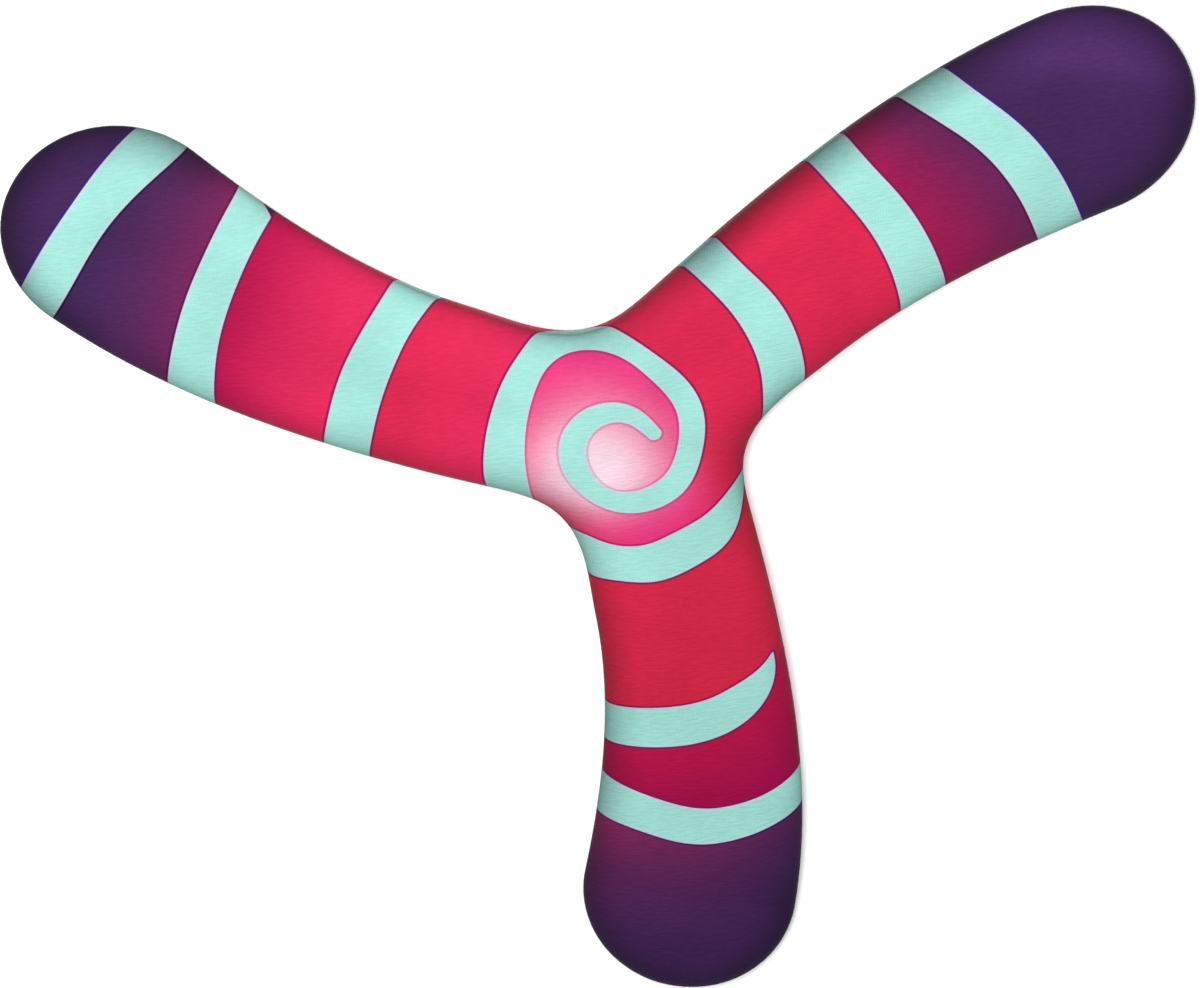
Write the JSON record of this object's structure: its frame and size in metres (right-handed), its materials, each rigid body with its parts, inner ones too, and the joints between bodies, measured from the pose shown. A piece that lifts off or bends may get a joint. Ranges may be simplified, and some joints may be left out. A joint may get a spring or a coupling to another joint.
{
  "type": "boomerang",
  "caption": "Soft right-handed boomerang with curved, rounded blades, a flat underside and printed stretch-jersey covers over foam.",
  "frame": {"origin": "centre of the hub on the flat underside, where the three arms' middle lines meet", "axes": "+Z through the blade towards the cambered printed face; one arm runs out along -Y"},
  "size_m": [0.2573, 0.2317, 0.0135],
  "materials": {
    "printed_jersey": "fine stretch jersey, dye printed in red, pink, mint and purple, matt with a soft sheen",
    "plain_jersey": "fine stretch jersey dyed one dark purple, matt",
    "foam": "soft closed-cell foam, matt",
    "spine_plastic": "thin polypropylene sheet, satin"
  },
  "bodies": {
    "root": {"top_cover": "printed_jersey", "bottom_cover": "plain_jersey", "upper_foam": "foam", "lower_foam": "foam", "spine": "spine_plastic"}
  },
  "joints": []
}
